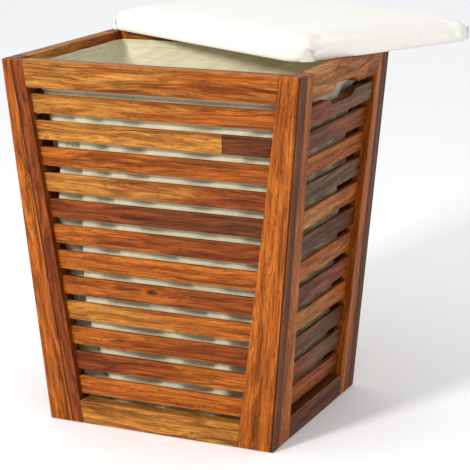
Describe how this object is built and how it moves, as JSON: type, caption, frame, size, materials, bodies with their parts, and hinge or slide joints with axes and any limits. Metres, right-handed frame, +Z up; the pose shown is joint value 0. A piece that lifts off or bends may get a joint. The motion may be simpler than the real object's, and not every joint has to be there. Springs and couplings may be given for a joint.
{
  "type": "laundry hamper",
  "caption": "Tapered slatted wooden laundry hamper with a hanging cotton liner, hand holes in the sides and a loose padded lid lying askew on the rim.",
  "frame": {"origin": "centre of the hamper's footprint, on the floor under the base board", "axes": "+Z up, -Y towards the wide front, +X to the right seen from the front; hand holes at both X ends"},
  "size_m": [0.5481, 0.6019, 0.5578],
  "materials": {
    "orange_wood": "oiled",
    "golden_wood": "oiled",
    "red_wood": "oiled",
    "plywood": "bare",
    "natural_cotton": "matte",
    "white_cotton": "matte"
  },
  "bodies": {
    "frame": {"front_stile_left": "orange_wood", "front_stile_right": "orange_wood", "front_rail_top": "golden_wood", "front_rail_bottom": "golden_wood", "front_slat_01": "orange_wood", "front_slat_02": "golden_wood", "front_slat_03": "red_wood", "front_slat_04": "orange_wood", "front_slat_05": "golden_wood", "front_slat_06": "red_wood", "front_slat_07": "orange_wood", "front_slat_08": "golden_wood", "front_slat_09": "red_wood", "front_slat_10": "orange_wood", "front_slat_11": "golden_wood", "front_slat_12": "red_wood", "right_stile_left": "orange_wood", "right_stile_right": "orange_wood", "right_rail_top": "golden_wood", "right_rail_bottom": "golden_wood", "right_slat_01": "orange_wood", "right_slat_02": "golden_wood", "right_slat_03": "red_wood", "right_slat_04": "orange_wood", "right_slat_05": "golden_wood", "right_slat_06": "red_wood", "right_slat_07": "orange_wood", "right_slat_08": "golden_wood", "right_slat_09": "red_wood", "right_slat_10": "orange_wood", "right_slat_11": "golden_wood", "right_slat_12": "red_wood", "left_stile_left": "orange_wood", "left_stile_right": "orange_wood", "left_rail_top": "golden_wood", "left_rail_bottom": "golden_wood", "left_slat_01": "orange_wood", "left_slat_02": "golden_wood", "left_slat_03": "red_wood", "left_slat_04": "orange_wood", "left_slat_05": "golden_wood", "left_slat_06": "red_wood", "left_slat_07": "orange_wood", "left_slat_08": "golden_wood", "left_slat_09": "red_wood", "left_slat_10": "orange_wood", "left_slat_11": "golden_wood", "left_slat_12": "red_wood", "back_stile_left": "orange_wood", "back_stile_right": "orange_wood", "back_rail_top": "golden_wood", "back_rail_bottom": "golden_wood", "back_slats": "golden_wood", "base_board": "plywood", "liner_bag": "natural_cotton"},
    "lid": {"lid_underside_cloth": "white_cotton", "lid_board": "plywood", "lid_cushion": "white_cotton"}
  },
  "joints": [
    {"name": "lid_lift", "type": "slide", "parent": "frame", "child": "lid", "axis": [0, 0, 1], "range_m": [0, 0.35]}
  ]
}
